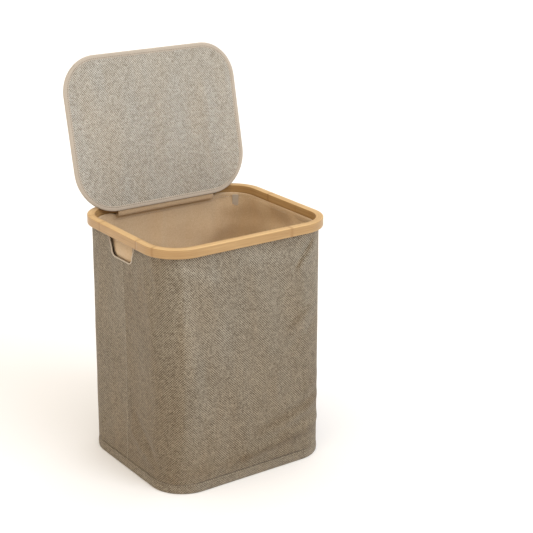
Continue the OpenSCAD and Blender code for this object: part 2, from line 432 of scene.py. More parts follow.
def surface(tree, bsdf, colour, height, strength, distance):
    """Gives the shader its colour and the relief of its grain."""
    tree.links.new(colour, bsdf.inputs["Base Color"])
    relief = add(tree, "ShaderNodeBump", {"Height": height, "Strength": strength, "Distance": distance})
    tree.links.new(relief.outputs[0], bsdf.inputs["Normal"])


def woven(name, light, dark, yarn, contrast, patch, bump, foot=(1, 1, 1), **shader):
    """Plain weave of two crossing sets of uneven yarns, each `yarn` wide, its colour
    multiplied by `foot` at the hem, as painted shade near the floor, and by less and less up to the rim.
    What it gives the eye: a dry heather check whose yarns thicken and thin, with
    clouds of paler and darker yarn."""
    made, tree, bsdf = new_material(name, **shader)
    place = cloth_place(tree)
    grid = stretched(tree, place, [1 / yarn] * 3)
    # the yarns wander a little, so the check never lines up like print
    wander = add(tree, "ShaderNodeTexNoise", {"Vector": grid, "Scale": 0.16, "Detail": 2.0}).outputs["Color"]
    wander = stretched(tree, wander, [1.1] * 3)
    grid = add(tree, "ShaderNodeVectorMath", {0: grid, 1: wander}, operation="ADD").outputs[0]
    axes = add(tree, "ShaderNodeSeparateXYZ", {0: grid}).outputs
    warp, weft = (sums(tree, "COSINE", sums(tree, "MULTIPLY", axes[i], pi)) for i in (0, 1))
    over = sums(tree, "MULTIPLY_ADD", sums(tree, "MULTIPLY", warp, weft), 0.5, 0.5)
    # slubs: long along their own yarn, one yarn wide
    slubs = [clouds(tree, stretched(tree, grid, way), 1.0, 1.0) for way in ((0.85, 0.3, 1), (0.3, 0.85, 1))]
    slub = add(tree, "ShaderNodeMix", {0: over, 2: slubs[0], 3: slubs[1]}).outputs[0]
    slub = sums(tree, "ADD", slub, clouds(tree, grid, 0.7, 1.0))
    # clouds a few centimetres across, where the check shows more or less
    check = sums(tree, "MULTIPLY", clouds(tree, place, 26.0, 3.0), 4.2 * contrast)
    check = sums(tree, "MULTIPLY", sums(tree, "SUBTRACT", over, 0.5), check)
    slubby = 1.9 * contrast
    broad = clouds(tree, place, 7.0)
    tone = weighed(tree, 0.5 - slubby - patch / 2, (check, 1.0), (slub, slubby), (broad, patch))
    colour = mix(tree, tone, rgba(dark), rgba(light))
    # painted shading: a crease is painted darker and warmer as shade, a raised place paler and greyer as
    # painted light
    painted_shading = add(tree, "ShaderNodeAttribute", attribute_name="painted_shading").outputs["Fac"]
    for strength, turned_to in ((0.8, (0.76, 0.70, 0.62)), (-0.8, (1.16, 1.2, 1.26))):
        amount = sums(tree, "MULTIPLY", painted_shading, strength, clamp=True)
        colour = mix(tree, amount, colour, rgba(turned_to), "MULTIPLY")
    # long soft streaks where the nap lies the other way and reads warmer
    nap = clouds(tree, stretched(tree, place, (1.0, 0.22, 1.0)), 19.0)
    nap = sums(tree, "MULTIPLY_ADD", nap, 3.0, -1.0, clamp=True)
    nap = mix(tree, nap, (0.99, 1.0, 1.0, 1), (1.0, 0.965, 0.91, 1))
    colour = mix(tree, 1.0, colour, nap, "MULTIPLY")
    # painted shade: darker towards the floor
    high = add(tree, "ShaderNodeSeparateXYZ", {0: place}).outputs[1]
    painted_floor_shade = sums(tree, "MULTIPLY_ADD", high, -2.0, 1.0, clamp=True)
    colour = mix(tree, painted_floor_shade, colour, rgba(foot), "MULTIPLY")
    height = sums(tree, "ADD", sums(tree, "MULTIPLY", over, 1.4), sums(tree, "MULTIPLY", slub, 0.5))
    surface(tree, bsdf, colour, height, bump, yarn * 0.35)
    return made


def ribbed(name, light):
    """Fine ribs across a tape, with a little fuzz and soil."""
    made, tree, bsdf = new_material(name, Roughness=0.8, Sheen_Weight=0.1, Specular_IOR_Level=0.3)
    place = cloth_place(tree)
    inputs = {"Vector": place, "Scale": 95.0, "Distortion": 0.6, "Detail": 1.0, "Detail Scale": 3.0}
    ribs = add(tree, "ShaderNodeTexWave", inputs, bands_direction="X").outputs[0]
    fuzz, soil = clouds(tree, place, 420.0), clouds(tree, place, 18.0, 3.0)
    tone = weighed(tree, 0.0, (ribs, 0.3), (fuzz, 0.4), (soil, 0.5))
    colour = mix(tree, tone, rgba([v * 0.66 for v in light]), rgba(light))
    surface(tree, bsdf, colour, ribs, 0.35, 0.3 * MM)
    return made


def laminated(name, light, dark, ring_colour, edge, ring_places):
    """Long fibres that run round the rail and a few growth rings across it, each given as
    its place and half width. Below `edge` the faces are painted darker than the top, as painted shade on the
    sides."""
    made, tree, bsdf = new_material(
        name, Roughness=0.42, Coat_Weight=0.18, Coat_Roughness=0.3, Specular_IOR_Level=0.4
    )
    place = cloth_place(tree)
    fibres = stretched(tree, place, (0.018, 1.0, 1.0))
    fine, broad = clouds(tree, fibres, 900.0, 3.0), clouds(tree, fibres, 230.0)
    tone = weighed(tree, -0.785, (fine, 0.9), (broad, 1.0), (clouds(tree, place, 9.0), 0.7))
    body = mix(tree, tone, rgba(dark), rgba(light))
    axes = add(tree, "ShaderNodeSeparateXYZ", {0: place}).outputs
    painted_side_shade = sums(tree, "DIVIDE", sums(tree, "SUBTRACT", edge + 1.2 * MM, axes[1]), 1.2 * MM, clamp=True)
    # painted shade: the rail's sides darker and warmer than its top
    body = mix(tree, painted_side_shade, body, (0.74, 0.69, 0.63, 1), "MULTIPLY")
    bend = sums(tree, "MULTIPLY_ADD", clouds(tree, place, 60.0, 1.0), 4 * MM, -2 * MM)
    where = sums(tree, "ADD", axes[0], bend)
    rings = 0.0
    for spot, half in ring_places:
        near = sums(tree, "ABSOLUTE", sums(tree, "SUBTRACT", where, spot * MM))
        ring = sums(tree, "MULTIPLY_ADD", near, -1 / (half * MM), 1.0, clamp=True)
        rings = sums(tree, "MAXIMUM", rings, ring)
    faded = sums(tree, "MULTIPLY", rings, sums(tree, "MULTIPLY", broad, 0.95), clamp=True)
    height = sums(tree, "MULTIPLY_ADD", rings, -0.3, fine)
    surface(tree, bsdf, mix(tree, faded, body, rgba(ring_colour)), height, 0.25, 0.25 * MM)
    return made


def speckled(name, light, dark, scale, bump, **shader):
    """Even ground with a fine fleck, in object space."""
    made, tree, bsdf = new_material(name, **shader)
    place = add(tree, "ShaderNodeTexCoord").outputs["Object"]
    fleck = clouds(tree, place, scale, 4.0, Roughness=0.7)
    tone = weighed(tree, 0.0, (fleck, 0.7), (clouds(tree, place, scale / 14), 0.35))
    surface(tree, bsdf, mix(tree, tone, rgba(dark), rgba(light)), fleck, bump, 0.3 * MM)
    return made


def material(name, maker, *choices, **shader):
    """Each finish is made once and shared by its pieces."""
    return bpy.data.materials.get(name) or maker(name, *choices, **shader)


def linen():
    # Heather polyester linen: grey-brown, dry and matt, with a faint nap. The real yarn is
    # about 0.8 mm; it is drawn at 2.7 mm so that the check still shows from across a room.
    c = colours()
    # the cloth is painted darker and warmer towards the floor, as shade near the floor
    return material(
        "Heather linen-look polyester", woven, c.linen_light, c.linen_dark, 2.7 * MM, 0.62, 0.3, 0.5,
        (0.82, 0.76, 0.68), Roughness=0.92, Sheen_Weight=0.12, Sheen_Roughness=0.6, Specular_IOR_Level=0.25,
    )


def lid_linen():
    # The same cloth in a paler shade on the lid's inner face, kept from fading by the lid.
    c = colours()
    return material(
        "Pale linen-look polyester", woven, c.lid_light, c.lid_dark, 2.7 * MM, 0.6, 0.25, 0.5,
        Roughness=0.9, Sheen_Weight=0.1, Sheen_Roughness=0.6, Specular_IOR_Level=0.25,
    )


def lining():
    # Thin cotton-blend liner: warm beige, smoother and tighter than the cover.
    c = colours()
    return material(
        "Beige cotton liner cloth", woven, c.lining_light, c.lining_dark, 1.6 * MM, 0.35, 0.25, 0.25,
        Roughness=0.85, Sheen_Weight=0.15, Sheen_Roughness=0.5, Specular_IOR_Level=0.3,
    )


def tape():
    # Woven polyester binding tape: fine ribs across the tape, flatter and paler than the
    # cloth it edges.
    return material("Ribbed polyester binding tape", ribbed, colours().tape)


def bamboo():
    # Bent laminated bamboo under a thin satin lacquer: long straight fibres, and growth
    # rings at uneven places along each rail.
    c = colours()
    rings = ((95.5, 5.5), (-238, 5), (-297, 5), (-448.5, 4), (322, 5))
    # below this height the rail is painted darker, as shade on its sides
    edge = (RIM_HIGH.z - 1.8) * MM
    return material(
        "Lacquered bent bamboo", laminated, c.bamboo_light, c.bamboo_dark, c.bamboo_node, edge, rings
    )


def flecked(name, light, shade, scale, bump, **shader):
    """A speckled finish whose flecks are the same colour, darker by a share."""
    return material(name, speckled, light, [v * shade for v in light], scale, bump, **shader)


def fibreboard():
    # Raw pressed board: matt brown with pale wood flecks.
    return flecked("Pressed fibreboard", colours().board, 0.55, 700.0, 0.3, Roughness=0.85)


def thread(tone):
    # Twisted polyester sewing thread: a soft shine along each stitch.
    light = colours().thread_pale if tone == "pale" else colours().thread_dark
    name = "Polyester sewing thread, " + tone
    return flecked(name, light, 0.6, 2500.0, 0.3, Roughness=0.6, Sheen_Weight=0.1)


def two_tone(name, light, dark, scale, bump, **shader):
    return material(name, speckled, srgb(light), srgb(dark), scale, bump, **shader)


def rod_steel():
    # Zinc-plated steel rod: grey metal, slightly cloudy.
    return two_tone("Zinc-plated steel", "#b9bcc0", "#8d9096", 300.0, 0.05, Metallic=1.0, Roughness=0.35)


def cap_plastic():
    # Soft moulded plastic: dark grey with a fine spark texture.
    return two_tone("Soft grey moulded plastic", "#5a5853", "#46443f", 900.0, 0.15, Roughness=0.6)


def hook_tape():
    # Hook-and-loop patch: grey-beige, rough with tiny hooks.
    return two_tone("Hook-and-loop patch", "#bdb3a3", "#82796b", 1400.0, 0.9, Roughness=0.95)


def under_cloth():
    # Dark non-woven sheet under the base and in the rim's groove, pressed flat.
    return two_tone("Pressed non-woven base sheet", "#8d7f6a", "#63584a", 500.0, 0.4, Roughness=0.95)


# ---------------------------------------------------------------------- pieces


def rail(name, side):
    """Half of the bamboo rim: its grooved section is swept round and cut at the scarfs."""
    s = sizes()
    low, top = (corner.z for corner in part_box("rim_front"))
    outer, inner = s.rim_width / 2, s.rim_width / 2 - s.rim_thickness
    # the groove under the rail that grips the cloth and its welt
    lip, roof = outer - s.cover_inset + 0.1 * MM, low + 4 * MM
    back = lip - 3.6 * MM
    points = [
        (outer, low), (outer, top), (inner, top), (inner, low),
        (back, low), (back, roof), (lip, roof), (lip, low),
    ]
    # both rails start too long, and the scarf cuts them to their length
    start = 100 * MM if side < 0 else 130 * MM
    bm = bmesh.new()
    shape = bm.faces.new([bm.verts.new((x, start, z)) for x, z in points])
    corners = [v for v in shape.verts if v.co.x in (shape.verts[0].co.x, shape.verts[2].co.x)]
    bmesh.ops.bevel(
        bm, geom=corners, offset=s.rim_round, segments=5, profile=0.5, affect="VERTICES",
        material=-1, clamp_overlap=True,
    )
    edges = list(bm.edges)
    bmesh.ops.delete(bm, geom=list(bm.faces), context="FACES_ONLY")
    sweep(bm, edges, lap(s.rim_width, s.rim_depth, s.rim_radius, s.rim_radius, start, start), 12 * MM, 20)
    if side > 0:
        bmesh.ops.scale(bm, vec=(1, -1, 1), verts=bm.verts)
    # the slanted scarf cut across both short sides, with a hair of glue line left between
    for flip in (1, -1):
        a = Vector((flip * outer, -s.scarf_out, 0))
        b = Vector((flip * inner, -s.scarf_in, 0))
        away = (b - a).cross(UP).normalized() * flip * side
        # only the short side is cut: the slanted line would reach the far rail as well
        near = [f for f in bm.faces if all(v.co.x * flip > outer - 30 * MM for v in f.verts)]
        bmesh.ops.bisect_plane(
            bm, geom=whole(near), plane_co=a + away * 0.1 * MM, plane_no=-away, clear_outer=True, dist=1e-7
        )
    close_ends(bm)
    lay_cloth(bm, along(s.rim_width, s.rim_depth, s.rim_radius, side))
    return ease_edges(finish_mesh(name, bm, bamboo()), 40)


class HAMPER_OT_rim(bpy.types.Operator):
    """Bends the two bamboo rails of the rim and scarfs them together"""

    bl_idname = "hamper.rim"
    bl_label = "Bamboo Rim"

    def execute(self, context):
        for word, side in (("front", -1), ("rear", 1)):
            made = rail("bamboo_rail_" + word, side)
            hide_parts("rim_" + word)
            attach(made, "rim")
        return {"FINISHED"}


# Folds in the cover, in millimetres: from (along, height) to (along, height), half width
# and depth. Positive stands proud.
FRONT_FOLDS = (
    (166, 528, 112, 454, 6, -2.3), (178, 514, 124, 442, 9, 1.4), (196, 500, 176, 440, 9, -1.4),
    (192, 84, -50, 38, 13, 2.8), (192, 138, 40, 84, 12, 2.2), (188, 184, 70, 132, 15, 1.4),
    (186, 330, 84, 262, 12, -1.4), (184, 372, 110, 322, 12, 1.2),
    (-178, 522, -118, 500, 5, -1.4), (-182, 506, -130, 482, 9, 1.3), (-158, 470, -150, 250, 13, 1.3),
    (-167, 518, -170, 60, 6, 1.5), (-186, 500, -188, 80, 9, -1.0), (-267, 520, -267, 438, 3, 0.9),
    (-120, 330, -118, 170, 14, -0.9), (20, 300, 60, 140, 26, 0.9),
    (-250, 500, -232, 420, 10, -1.3), (-262, 460, -238, 330, 12, 1.1), (-330, 150, -230, 46, 12, -1.6),
    (-346, 100, -250, 40, 10, 1.3), (330, 140, 232, 40, 12, -1.6), (250, 500, 226, 400, 11, -1.3),
    (300, 440, 250, 300, 14, 1.1),
)
REAR_FOLDS = (
    (140, 512, 96, 440, 6, -2.0), (-150, 510, -100, 452, 6, -2.0), (180, 80, -20, 30, 11, -1.8),
    (-186, 90, -30, 36, 12, -1.6), (-170, 300, -120, 180, 16, 1.2), (160, 330, 130, 170, 15, 1.2),
    (20, 420, -30, 260, 24, -1.0), (250, 480, 226, 380, 10, -1.2), (-250, 470, -228, 360, 12, -1.2),
    (330, 140, 240, 50, 12, 1.4), (-330, 150, -238, 52, 12, -1.4),
)


# Painted shade and light on the cloth, placed as the folds are: from, to, half width in millimetres and
# strength. Positive is painted shade, darker and warmer, as in a crease; negative is painted light, paler and
# greyer.
FRONT_PAINTED_SHADING = (
    (188, 72, -24, 44, 9, 1.1), (-24, 46, -150, 46, 12, 0.5), (188, 143, 20, 98, 12, 0.7),
    (150, 360, 98, 318, 8, 0.6), (162, 510, 120, 456, 3.2, 1.5), (170, 502, 130, 452, 6, -0.7),
    (-165, 507, -90, 472, 15, -1.0), (0, 497, 130, 482, 17, -0.8), (-160, 450, -152, 300, 11, -0.8),
    (-84, 345, -70, 300, 26, -0.5), (-120, 200, -60, 120, 30, -0.3), (182, 330, 178, 120, 26, 0.5),
    (-300, 500, -304, 440, 6, -0.6),
)

# Distances along the cloth from the middle of its side, in millimetres
ROD = 194
SEAM = 357


def held(low, value, high):
    return max(low, min(high, value))


def beside(line, a, z):
    """How far a place is from a fold's line, and how far along the line, from 0 to 1."""
    a0, z0, a1, z1 = line
    da, dz = a1 - a0, z1 - z0
    share = held(0.0, ((a - a0) * da + (z - z0) * dz) / (da * da + dz * dz), 1.0)
    return hypot(a - a0 - share * da, z - z0 - share * dz), share


def painted_shading_at(marks, spot):
    """How much painted shade (above 0) or painted light (below 0) the cloth gets at a place on it."""
    a, z = spot.x / MM, spot.y / MM
    # the short side's cloth, from just before the corner's rod on, is painted darker and warmer as shade
    total = 0.5 / (1 + exp(min(40.0, (a + 176) / 4))) if marks else 0.0
    for *line, width, strength in marks:
        off = beside(line, a, z)[0] / width
        total += strength * exp(-off * off) if off < 3 else 0.0
    return total


def slack(folds, seed):
    """How far the cover stands out at a place on its cloth, in metres."""

    def depth(spot):
        a, z = spot.x / MM, spot.y / MM
        total = 0.0
        for *line, width, height in folds:
            off, share = beside(line, a, z)
            if off < 3 * width:
                total += 1.5 * height * exp(-((off / width) ** 2)) * (0.35 + 0.65 * sin(pi * share))
        # the rods hold the corners straight, so the cloth is calm there and slack between
        calm = 1 - 0.75 * exp(-(((abs(a) - ROD) / 50) ** 2))
        broad = noise.noise(Vector((a / 60, z / 75, seed)))
        fine = noise.noise(Vector((a / 24, z / 34, seed + 7)))
        total += calm * (broad + 0.5 * fine)
        # the cloth can't go in past a rod
        if total < 0:
            total *= 1 - exp(-(((abs(a) - ROD) / 15) ** 4))
        # both halves meet on the same line at the side seam
        total *= held(0.0, (SEAM - 1 - abs(a)) / 16, 1.0)
        # wide soft hollows between the stay rods, on the long side and across the seam
        panel = 0.0
        if abs(a) < 139:
            panel = cos(pi * a / 278)
        elif abs(a) > 249:
            panel = cos(pi * (abs(a) - SEAM) / 216)
        up = held(0.0, (z - 20) / 508, 1.0)
        total -= 2.6 * max(0.0, panel) * sin(pi * up)
        ends = min(1.0, up * 9, (1 - up) * 14)
        return total * MM * max(0.0, ends) * sizes().fold_depth

    return depth


# A place further out to the side than this is on a short side's wall
SHORT_SIDE = 190 * MM


def lower_corner(half, low, radius, steps):
    """The round lower corner of a hand hole, from its upright edge in to its lower one."""
    turns = [pi / 2 * i / steps for i in range(1, steps + 1)]
    return [(half - radius + radius * cos(t), low + radius - radius * sin(t)) for t in turns]


def cut_hand_holes(bm, top):
    """Cuts the hand hole out of both short sides, one straight cut at a time."""
    s = sizes()
    grow = s.piping + 0.1 * MM
    half, low, radius = s.hole_low + grow, top - s.hole_depth - grow, s.hole_radius + grow
    outline = [(s.hole_top + grow, top + 6 * MM), (half, low + radius)]
    outline += lower_corner(half, low, radius, 7)
    outline.append((-20 * MM, outline[-1][1]))
    cuts = list(zip(outline, outline[1:]))
    for flip in (1, -1):
        for (y0, z0), (y1, z1) in cuts:
            spots = [(f, f.calc_center_median()) for f in bm.faces]
            near = [
                f for f, at in spots
                if at.x * flip > SHORT_SIDE and at.y > -75 * MM and at.z > top - 62 * MM
            ]
            across = Vector((0, z0 - z1, y0 - y1)).normalized()
            bmesh.ops.bisect_plane(bm, geom=whole(near), plane_co=(0, -y0, z0), plane_no=across, dist=1e-7)

    def inside(at):
        turns = ((y1 - y0) * (at.z - z0) + (z1 - z0) * (at.y + y0) for (y0, z0), (y1, z1) in cuts)
        return abs(at.x) > SHORT_SIDE and all(turn <= -1e-9 for turn in turns)

    hole = [f for f in bm.faces if inside(f.calc_center_median())]
    if not hole:
        raise RuntimeError("the hand hole was not cut")
    bmesh.ops.delete(bm, geom=hole, context="FACES")


def cover_half(name, side):
    """Front or rear half of the cover, cut from one cloth and sewn at the short sides."""
    s = sizes()
    width, depth = s.rim_width - 2 * s.cover_inset, s.rim_depth - 2 * s.cover_inset
    radius = s.rim_radius - s.cover_inset
    top = COVER_HIGH.z * MM
    low, high = s.hem_height + 0.1 * MM, top + 1.3 * MM
    bm = bmesh.new()
    edge = section(bm, [(width / 2, 0, low), (width / 2, 0, high)])
    bmesh.ops.subdivide_edges(bm, edges=edge, cuts=s.wall_rows - 1)
    sweep(bm, list(bm.edges), lap(width, depth, radius, radius, 0, 0), 4.3 * MM, 24)
    cut_hand_holes(bm, top)
    weld(bm, 0.05 * MM)
    read = along(width, depth, radius, -1)
    # the halves come from different lengths of the roll, so the weave isn't mirrored at the seam
    roll = Vector((0.65 + 0.65 * side, 0, 0))
    lay_cloth(bm, lambda co: read(co) + roll)
    painted_shading = bm.verts.layers.float.new("painted_shading")
    face_outwards(bm)
    shading_marks, stand = (FRONT_PAINTED_SHADING, slack(FRONT_FOLDS, 3.0)) if side < 0 else ((), slack(REAR_FOLDS, 11.0))
    # the walls lean in a little at the sides and out a little at front and rear towards the foot
    lean_x, lean_y = -2 * MM / width, 12 * MM / depth
    for vert, normal, spot in [(v, v.normal.copy(), read(v.co)) for v in bm.verts]:
        # painted shade and light from the marks, kept on each point for the cloth's shader
        vert[painted_shading] = painted_shading_at(shading_marks, spot)
        down = held(0.0, (top - spot.y) / (top - low), 1.0)
        vert.co.x *= 1 + lean_x * down
        vert.co.y *= 1 + lean_y * down
        normal.z = 0
        from_hole = hypot(max(0.0, abs(vert.co.y) - 50 * MM), max(0.0, 480 * MM - spot.y))
        free = min(1.0, from_hole / (30 * MM) + 0.12) if abs(vert.co.x) > SHORT_SIDE else 1.0
        vert.co += normal.normalized() * stand(spot) * free
    if side > 0:
        bmesh.ops.scale(bm, vec=(1, -1, 1), verts=bm.verts)
        bmesh.ops.reverse_faces(bm, faces=bm.faces)
    for vert in bm.verts:
        if abs(vert.co.y) < 0.12 * MM:
            vert.co.y = 0.06 * MM * side
    return thicken(finish_mesh(name, bm, linen()), s.cover_thickness * 0.9, -1)


class HAMPER_OT_cover(bpy.types.Operator):
    """Cuts and drapes the two halves of the cloth cover"""

    bl_idname = "hamper.cover"
    bl_label = "Cloth Cover"

    def execute(self, context):
        for word, side in (("front", -1), ("rear", 1)):
            made = cover_half("cloth_cover_" + word, side)
            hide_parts("cover_" + word)
            falls_with_rim(made)
        return {"FINISHED"}


def round_lap(width, depth, radius, lift=0.0):
    """Reads a whole lap as one length of cloth whose ends meet at the rear middle."""
    front, rear = along(width, depth, radius, -1), along(width, depth, radius, 1)
    half = front(Vector((width / 2, 0, 0))).x

    def read(co):
        spot = front(co)
        if co.y > 0:
            spot = rear(co)
            spot.x = (2 * half - abs(spot.x)) * (1 if spot.x >= 0 else -1)
        spot.y += lift
        return spot

    return read, 4 * half


def band(name, points, width, depth, radius, finish, pace=12 * MM, turns=20, lift=0.0):
    """A ring swept from a section that is given as (inset, height). Its cloth is cut `lift`
    higher on the roll than where it sits."""
    bm = bmesh.new()
    tube = points[0] == points[-1]
    points = points[:-1] if tube else points
    edges = section(bm, [(width / 2 - inset, 0, z) for inset, z in points], tube)
    sweep(bm, edges, lap(width, depth, radius, radius, 0), pace, turns)
    weld(bm)
    if tube:
        bmesh.ops.recalc_face_normals(bm, faces=bm.faces)
    else:
        face_outwards(bm)
    lay_cloth(bm, *round_lap(width, depth, radius, lift))
    return finish_mesh(name, bm, finish)


def stitch_row(name, places, finish, size):
    """A row of short stitches, each a stretched bead lying along its seam."""
    length_, thick = size
    bead = bmesh.new()
    bmesh.ops.create_uvsphere(bead, u_segments=6, v_segments=4, radius=0.5)
    bmesh.ops.rotate(bead, cent=(0, 0, 0), matrix=Matrix.Rotation(pi / 2, 3, "Y"), verts=bead.verts)
    bmesh.ops.scale(bead, vec=(length_, thick, thick * 0.8), verts=bead.verts)
    pattern = bpy.data.meshes.new(name + "_one")
    bead.to_mesh(pattern)
    bead.free()
    bm = bmesh.new()
    for at, direction, out in places:
        first = len(bm.verts)
        bm.from_mesh(pattern)
        bm.verts.ensure_lookup_table()
        side = out.cross(direction).normalized()
        turn = Matrix((direction, side, out)).transposed().to_4x4()
        bmesh.ops.transform(bm, matrix=Matrix.Translation(at) @ turn, verts=bm.verts[first:])
    bpy.data.meshes.remove(pattern)
    return finish_mesh(name, bm, finish)


def walk(width, depth, rear, front, pitch):
    """Even places round a rounded rectangle, as (point, direction, outward)."""
    legs = lap(width, depth, rear, front, 0)
    at, spare = Vector((width / 2, 0, 0)), 0.0
    places = []
    for run, centre in legs:
        if centre is None:
            way = run.normalized()
            out = Vector((-way.y, way.x, 0))
            distance = spare
            while distance < run.length:
                places.append((at + way * distance, way, out))
                distance += pitch
            spare = distance - run.length
            at = at + run
        else:
            arm = at - centre
            arc, distance = arm.length * pi / 2, spare
            while distance < arc:
                turned = Matrix.Rotation(-distance / arm.length, 3, "Z") @ arm
                out = turned.normalized()
                places.append((centre + turned, Vector((out.y, -out.x, 0)), out))
                distance += pitch
            spare = distance - arc
            at = centre + Matrix.Rotation(-pi / 2, 3, "Z") @ arm
    return places


class HAMPER_OT_base(bpy.types.Operator):
    """Sews the hem band round the base and stitches it"""

    bl_idname = "hamper.base"
    bl_label = "Base Hem"

    def execute(self, context):
        s = sizes()
        width, depth, radius = (HEM_HIGH.x - HEM_LOW.x) * MM, (HEM_HIGH.y - HEM_LOW.y) * MM, 80 * MM
        # the band is rolled under at the floor, bulges, and turns in over the cover's foot;
        # drawn as millimetres in and twentieths of its height up
        points = [
            (3.9, 0), (1.6, 0), (0.7, 0.35), (0.15, 1.4), (-0.25, 4), (-0.35, 8), (-0.1, 12.5), (0.45, 15.2),
            (0.95, 16), (0.75, 17), (0.9, 18.8), (1.6, 19.9), (2.5, 20.15), (3.4, 19.8), (3.9, 19), (3.9, 0),
        ]
        points = [(inset * MM, z / 20 * s.hem_height) for inset, z in points]
        hem = band("base_hem_band", points, width, depth, radius, linen(), 9 * MM, 24, 0.25)
        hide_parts("base_hem")
        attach(hem, "base")
        places = [
            (at + UP * 16 * MM - out * 0.8 * MM, way, out)
            for at, way, out in walk(width, depth, radius, radius, s.stitch_pitch)
        ]
        row = stitch_row("base_hem_stitches", places, thread("dark"), (s.stitch, s.thread))
        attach(row, "base")
        dress("base_board", fibreboard())
        dress("base_cloth", under_cloth())
        dress("rod_feet", cap_plastic())
        return {"FINISHED"}


class HAMPER_OT_side_seams(bpy.types.Operator):
    """Covers the side seams with tape inside and fells them flat outside"""

    bl_idname = "hamper.side_seams"
    bl_label = "Side Seams"

    def execute(self, context):
        s = sizes()
        stand = slack(FRONT_FOLDS, 3.0)
        low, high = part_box("side_seam_tapes")
        inside = high.x - 0.4 * MM
        bm = bmesh.new()
        for flip in (1, -1):
            edge = section(bm, [(flip * inside, low.y, low.z), (flip * inside, low.y, high.z)])
            bmesh.ops.subdivide_edges(bm, edges=edge, cuts=40)
            draw_out(bm, [e for e in bm.edges if e.is_wire], Vector((0, high.y - low.y, 0)), 4)
        for vert in bm.verts:
            flip = 1 if vert.co.x > 0 else -1
            vert.co.x += flip * (stand(Vector((flip * SEAM * MM, vert.co.z, 0))) * 0.9 - 0.15 * MM)
        lay_cloth(bm, lambda co: Vector((co.z, co.y, 0)))
        face_outwards(bm)
        seam = thicken(finish_mesh("side_seam_tape_pair", bm, tape()), 0.6 * MM, -1)
        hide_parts("side_seam_tapes")
        falls_with_rim(seam)

        # outside, the seam is felled flat: a narrow fold of the cover's own cloth
        bm = bmesh.new()
        top = COVER_HIGH.z * MM
        foot, end = s.hem_height + 0.4 * MM, top - s.hole_depth - s.piping - 1.5 * MM
        outside = s.rim_width / 2 - s.cover_inset
        edges = section(bm, [(outside, y * MM, foot) for y in (-2.9, -2.5, -1.2, 0, 1.2, 2.5, 2.9)])
        draw_out(bm, edges, UP * (end - foot), 90)
        bmesh.ops.mirror(bm, geom=[*bm.verts, *bm.edges, *bm.faces], axis="X", merge_dist=1e-7)
        lay_cloth(bm, lambda co: Vector((co.y + (0.9 if co.x > 0 else -0.9), co.z + 0.12, 0)))
        painted_shading = bm.verts.layers.float.new("painted_shading")
        for vert in bm.verts:
            # the fell is painted paler and greyer, as painted light on its raised strip
            vert[painted_shading] = -0.4
            flip = 1 if vert.co.x > 0 else -1
            raised = 0.55 if abs(vert.co.y) < 2.7 * MM else -0.3
            raised += 0.12 * noise.noise(Vector((0, vert.co.y * 300, vert.co.z * 90)))
            down = (top - vert.co.z) / (top - s.hem_height)
            free = min(1.0, max(0.0, 480 * MM - vert.co.z) / (30 * MM) + 0.12)
            out = stand(Vector((SEAM * MM, vert.co.z, 0))) * free
            vert.co.x = flip * (outside + (raised - down) * MM + out)
        face_outwards(bm)
        fell = finish_mesh("side_seam_fells", bm, linen())
        falls_with_rim(fell)
        return {"FINISHED"}


def piping_path():
    """Places along the hand hole's cut edge, from the front top round to the rear top."""
    s = sizes()
    top, edge = COVER_HIGH.z * MM, s.piping / 2
    half, low, radius = s.hole_low + edge, top - s.hole_depth - edge, s.hole_radius + edge
    path = [(s.hole_top + edge, top + 0.8 * MM), (half, low + radius), *lower_corner(half, low, radius, 8)]
    return [(-y, z) for y, z in path] + [(0, low)] + path[::-1]


class HAMPER_OT_hand_holes(bpy.types.Operator):
    """Binds both hand holes with a folded tape and stitches it"""

    bl_idname = "hamper.hand_holes"
    bl_label = "Hand Hole Bindings"

    def execute(self, context):
        s = sizes()
        path = [Vector(p) for p in piping_path()]
        # the tape's section: two soft lips folded over the cloth's cut edge
        lips = [
            (-1.15, -1.4), (-1.15, 0.7), (-0.7, 1.4), (0.0, 1.55), (0.7, 1.4), (1.15, 0.7), (1.15, -1.4),
            (0.5, -1.55), (-0.5, -1.55),
        ]
        for flip, word in ((-1, "left"), (1, "right")):
            x = flip * 208.5 * MM
            bm = bmesh.new()
            rings = []
            for here, before, after in zip(path, path[:1] + path, path[1:] + path[-1:]):
                way = (after - before).normalized()
                points = [(x + a * MM, here.x - way.y * b * MM, here.y + way.x * b * MM) for a, b in lips]
                rings.append(section(bm, points, True))
            for a, b in zip(rings, rings[1:]):
                bmesh.ops.bridge_loops(bm, edges=a + b)
            close_ends(bm)
            lay_cloth(bm, lambda co: Vector((co.y + co.z, co.x, 0)))
            made = finish_mesh("hand_hole_binding_" + word, bm, tape())
            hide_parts("handle_binding_" + word)
            falls_with_rim(made)
            places = []
            for here, after in zip(path, path[1:]):
                a, b = Vector((x, *here)), Vector((x, *after))
                way = (b - a).normalized()
                out = Vector((flip, 0, 0))
                lift = out * 1.2 * MM - Vector((1, 0, 0)).cross(way) * 0.55 * MM
                count = max(1, round((b - a).length / (s.stitch_pitch * 0.8)))
                places += [(a.lerp(b, (i + 0.5) / count) + lift, way, out) for i in range(count)]
            size = (s.stitch * 0.7, s.thread * 0.8)
            row = stitch_row("hand_hole_stitches_" + word, places, thread("pale"), size)
            falls_with_rim(row)
        return {"FINISHED"}


def tucked(co):
    """How far the liner's top stands up inside the rim, except where the hinge flap passes."""
    past = held(0.0, (abs(co.x) - 127 * MM) / (6 * MM), 1.0) if co.y > 160 * MM else 1.0
    return (6 * past - 1.5) * MM


